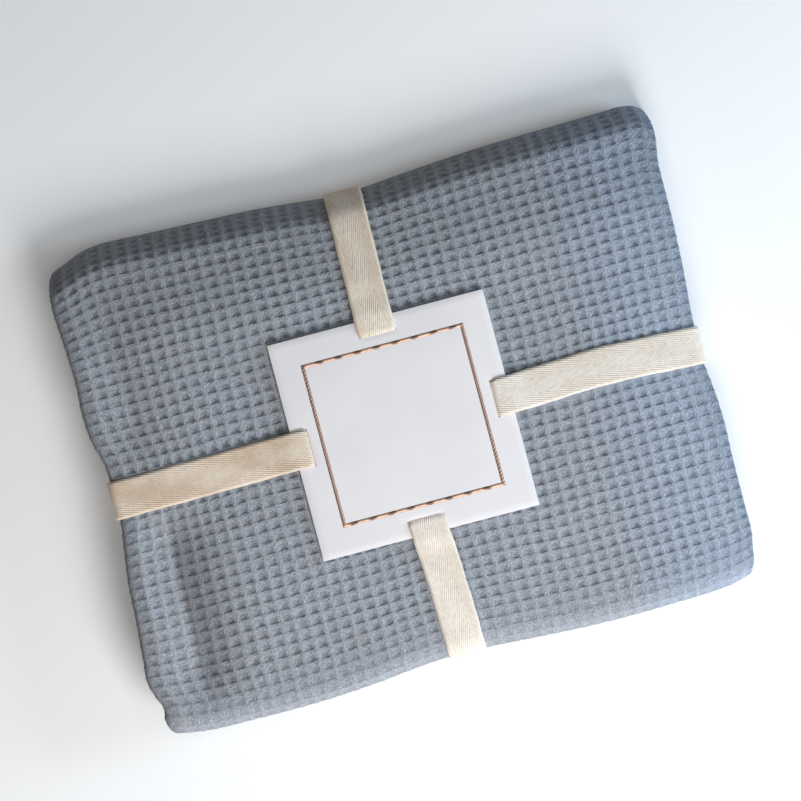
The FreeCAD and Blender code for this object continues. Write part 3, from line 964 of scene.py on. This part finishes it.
def cloth_finish():
    """Waffle weave in soft cotton: long floats round each pit, plain weave in it."""
    f = Finish("waffle_weave", 0.9)
    u, v = f.flat_map()
    place = f.vector(u, v)
    wander = f.times(f.add(f.noise(place, 0.3, 1.0), -0.5), 1.2)
    wavy_v = f.add(v, f.times(wander, 0.4))
    dip_u = cell_dip(f, f.add(u, f.times(wander, 0.5)), CELL_U, DIP_U)
    dip_v = cell_dip(f, wavy_v, CELL_V, DIP_V)
    pit = f.math("MINIMUM", dip_u, dip_v)
    yarn = cloth_yarn(f, u, v, dip_u, dip_v)
    fuzz = f.noise(place, 1.3, 2.0, 0.7)
    ribs = f.wave(f.add(f.add(u, f.times(v, 0.5)), wander), YARN)
    height = f.add(f.add(f.times(yarn, 1.1), f.times(fuzz, 0.5)), f.times(ribs, 0.12))
    f.bump(height, 0.9, 0.9)
    # over the front roll and at the right the cells are pulled flat, and the painted shade in their pits and
    # grooves is weaker
    stretched = f.ease(v, V_KNOTS[3] - 22, V_KNOTS[3] + 4, 1.0, 0.45)
    stretched = f.times(stretched, f.ease(u, U_KNOTS[3] - 34, U_KNOTS[3] - 4, 1.0, 0.95))
    # painted shade: the pits darker than the ridges
    shade = f.add(1.08, f.times(f.times(pit, stretched), -0.32))
    speckle = f.ease(f.noise(place, 0.8, 1.0, 0.7), 0.3, 0.7, 0.86, 1.14)
    grain = f.times(f.ease(yarn, 0.3, 0.7, 0.78, 1.22), f.ease(fuzz, 0.3, 0.7, 0.86, 1.14))
    grain = f.times(grain, speckle)
    # painted shade in the grooves between rows of cells
    groove = f.times(cell_groove(f, place, wavy_v, dip_u), stretched)
    tone = f.times(f.times(shade, grain), f.add(1.0, f.times(groove, -1.0)))
    # painted shade in the hollow beside the left roll
    tone = f.times(tone, crease_shade(f, u, v))
    grey = f.node("ShaderNodeCombineColor", {0: tone, 1: tone, 2: tone}).outputs[0]
    f.set("Base Color", f.mix(1.0, cloth_colour_and_painted_light(f, place, u, v), grey, "MULTIPLY"))
    f.set("Roughness", f.ease(fuzz, 0.2, 0.8, 0.82, 0.96))
    f.set("Sheen Weight", 0.15)
    f.set("Sheen Roughness", 0.45)
    f.set("Sheen Tint", (*srgb(205, 214, 228), 1))
    f.set("Specular IOR Level", 0.15)
    return f.material


def tape_finish(name, light, dark):
    """Herringbone twill tape in undyed cotton: three stripes of slanting ribs between firm selvedges."""
    f = Finish(name, 0.85)
    u, v = f.flat_map()
    place = f.vector(u, v)
    off = f.math("PINGPONG", f.add(u, 11.0 * 2 - 7.5), 11.0)
    wander = f.times(f.add(f.noise(place, 0.5, 1.0), -0.5), 0.5)
    slant = f.add(f.add(f.times(off, 0.966), f.times(v, -0.26)), wander)
    rib = f.wave(slant, 1.35)
    weft = f.wave(f.add(v, f.times(off, 0.6)), 1.15)
    edge = f.math("ABSOLUTE", f.add(u, -TAPE_WIDE / 2))
    selvedge = f.ease(edge, TAPE_WIDE / 2 - 1.5, TAPE_WIDE / 2 - 0.9)
    fuzz = f.noise(place, 2.0, 3.0, 0.6)
    height = f.add(f.add(f.times(rib, 1.0), f.times(weft, 0.35)), f.times(fuzz, 0.5))
    height = f.add(height, f.times(selvedge, 0.4))
    f.bump(height, 0.22, 1.0)
    tone = f.noise(f.vector(u, f.times(v, 0.4)), 0.06, 3.0)
    base = f.mix(f.ease(tone, 0.35, 0.65), light, dark)
    breaks = f.noise(f.vector(f.times(slant, 0.75), f.times(v, 0.22)), 1.0, 1.0)
    breaks = f.ease(breaks, 0.35, 0.65, 0.35, 1.15)
    # painted shade in the furrows between the ribs, broken here and there
    furrow = f.times(f.ease(rib, 0.0, 0.6, 0.48, 0.0), f.add(1.0, f.times(selvedge, -1.0)))
    base = f.mix(f.times(furrow, breaks), base, srgb(176, 146, 120))
    fleck = f.ease(f.noise(place, 0.9, 2.0, 0.7), 0.62, 0.72, 0.0, 0.35)
    base = f.mix(fleck, base, srgb(200, 174, 140))
    f.set("Base Color", base)
    f.set("Roughness", f.ease(fuzz, 0.2, 0.8, 0.78, 0.92))
    f.set("Sheen Weight", 0.15)
    f.set("Sheen Roughness", 0.4)
    f.set("Specular IOR Level", 0.25)
    return f.material


def card_finish():
    """Smooth white card with the faintest tooth."""
    f = Finish("white_card", 0.6)
    place = f.node("ShaderNodeTexCoord", {}).outputs["Object"]
    cloud = f.noise(place, 22, 2.0)
    tooth = f.noise(place, 1500, 2.0)
    f.set("Base Color", f.mix(f.ease(cloud, 0.3, 0.7), srgb(239, 235, 235), srgb(234, 230, 232)))
    f.set("Roughness", f.ease(tooth, 0.3, 0.7, 0.5, 0.64))
    f.bump(tooth, 0.03, 0.4)
    return f.material


def foil_finish():
    """The foil line: copper with dark lens-shaped dashes along it, edged in warmer tones."""
    f = Finish("copper_foil", 0.35)
    along, across = f.flat_map()
    other = f.math("GREATER_THAN", across, FOIL_SET_OFF / 2)
    inward = f.add(across, f.times(other, -FOIL_SET_OFF))
    middle = f.times(f.math("ABSOLUTE", f.add(inward, -FOIL_WIDE / 2)), 2 / FOIL_WIDE)
    phase = f.math("FRACT", f.times(along, 1 / 13.5))
    lens = f.math("ABSOLUTE", f.add(phase, -0.5))
    lens = f.ease(f.add(f.times(lens, 2.6), f.times(middle, 0.6)), 0.5, 0.9, 1.0, 0.0)
    twist = f.wave(f.add(f.add(along, f.times(inward, 1.5)), f.noise(f.vector(along, inward), 0.5)), 2.6)
    twist = f.ease(f.add(twist, f.times(middle, -0.15)), 0.25, 0.7)
    dark = f.add(f.times(lens, f.add(1.0, f.times(other, -1.0))), f.times(twist, f.times(other, 0.85)))
    warm = f.mix(f.ease(middle, 0.35, 0.9), srgb(228, 190, 164), srgb(212, 158, 126))
    warm = f.mix(f.times(other, 0.5), warm, srgb(184, 154, 140))
    tone = f.noise(f.vector(along, inward), 0.6, 2.0)
    warm = f.mix(f.ease(tone, 0.4, 0.7, 0.0, 0.4), warm, srgb(190, 128, 100))
    f.set("Base Color", f.mix(f.times(dark, 0.9), warm, srgb(88, 70, 62)))
    f.set("Metallic", 0.15)
    f.set("Roughness", f.ease(tone, 0.3, 0.7, 0.32, 0.5))
    f.bump(f.noise(f.vector(along, inward), 1.5), 0.02, 0.5)
    return f.material


def thread_finish(name, light, dark):
    """Twisted sewing thread."""
    f = Finish(name, 0.7)
    place = f.node("ShaderNodeTexCoord", {}).outputs["Object"]
    ply = f.noise(place, 3500, 2.0)
    f.set("Base Color", f.mix(f.ease(ply, 0.3, 0.7), dark, light))
    f.set("Roughness", f.ease(ply, 0.3, 0.7, 0.55, 0.8))
    f.bump(ply, 0.08, 0.8)
    f.set("Sheen Weight", 0.2)
    return f.material


def wear(pieces, material):
    """Gives the pieces that material alone."""
    for piece in pieces:
        piece.data.materials.clear()
        piece.data.materials.append(material)


wear([cloth, *hems], cloth_finish())
wear([hem_thread], thread_finish("blue_grey_thread", srgb(150, 160, 176), srgb(112, 120, 136)))
# painted shade: the left half of the long band wears a darker, warmer copy of the cream tape
wear([tapes[1]], tape_finish("herringbone_painted_shade", srgb(247, 231, 212), srgb(228, 205, 182)))
# painted light: the back half of the cross band wears a lighter, warmer copy of the cream tape
wear([tapes[2]], tape_finish("herringbone_painted_light", srgb(253, 241, 224), srgb(243, 225, 204)))
wear([tapes[0], tapes[3]], tape_finish("herringbone_cream", srgb(249, 240, 229), srgb(240, 228, 214)))
wear(tape_stitches, thread_finish("cream_thread", srgb(236, 226, 208), srgb(206, 192, 168)))
wear([card], card_finish())
wear([foil], foil_finish())


# ---------------------------------------------------------------- the floor, the light and the camera
VIEW_TURN = math.radians(14.81)
VIEW_WIDE = 0.539
LENS = 200.0
SENSOR = 36.0
LOOK_AT = (CARD_X + 2.5, CARD_Y + 16.6)


def make_camera():
    """A long lens straight above, turned against the object."""
    data = bpy.data.cameras.new("camera")
    data.lens = LENS
    data.sensor_width = SENSOR
    camera = bpy.data.objects.new("camera", data)
    away = VIEW_WIDE / 2 / (SENSOR / 2 / LENS)
    camera.location = (LOOK_AT[0] * MM, LOOK_AT[1] * MM, TOP * MM + away)
    camera.rotation_euler = (0, 0, -VIEW_TURN)
    bpy.context.scene.collection.objects.link(camera)
    bpy.context.scene.camera = camera


def make_light(name, place, size, power, colour):
    """A square area light that faces the middle of the floor."""
    data = bpy.data.lights.new(name, "AREA")
    data.size = size
    data.energy = power
    data.color = colour
    light = bpy.data.objects.new(name, data)
    light.location = place
    light.rotation_euler = (-Vector(place)).to_track_quat("-Z", "Y").to_euler()
    bpy.context.scene.collection.objects.link(light)


def make_stage():
    """A plain white floor and faint light from all round."""
    bpy.ops.mesh.primitive_plane_add(size=6, location=(0, 0, 0))
    floor = bpy.context.object
    floor.name = "floor"
    material = bpy.data.materials.new("floor")
    material.use_nodes = True
    shader = material.node_tree.nodes["Principled BSDF"]
    shader.inputs["Base Color"].default_value = (0.86, 0.86, 0.86, 1)
    shader.inputs["Roughness"].default_value = 0.8
    shader.inputs["Emission Color"].default_value = (1.0, 1.0, 1.0, 1)
    shader.inputs["Emission Strength"].default_value = 0.12
    floor.data.materials.append(material)
    world = bpy.data.worlds.new("studio")
    world.use_nodes = True
    world.node_tree.nodes["Background"].inputs["Color"].default_value = (1.0, 0.92, 0.84, 1)
    world.node_tree.nodes["Background"].inputs["Strength"].default_value = 0.05
    bpy.context.scene.world = world
    bpy.context.scene.view_settings.view_transform = "Standard"


def toward(azimuth, elevation, distance):
    """A place at that distance from the middle, azimuth in degrees from +X towards +Y."""
    turn, rise = math.radians(azimuth), math.radians(elevation)
    flat = distance * math.cos(rise)
    return (flat * math.cos(turn), flat * math.sin(turn), distance * math.sin(rise))


make_camera()
make_stage()
make_light("key", toward(-79, 36, 1.55), 0.7, 21.5, (0.98, 0.99, 1.0))
make_light("side", toward(-6, 22, 1.3), 0.5, 9.6, (0.6, 0.81, 1.0))
make_light("top", (0, -0.5, 1.55), 1.8, 8.6, (1.0, 0.985, 0.965))
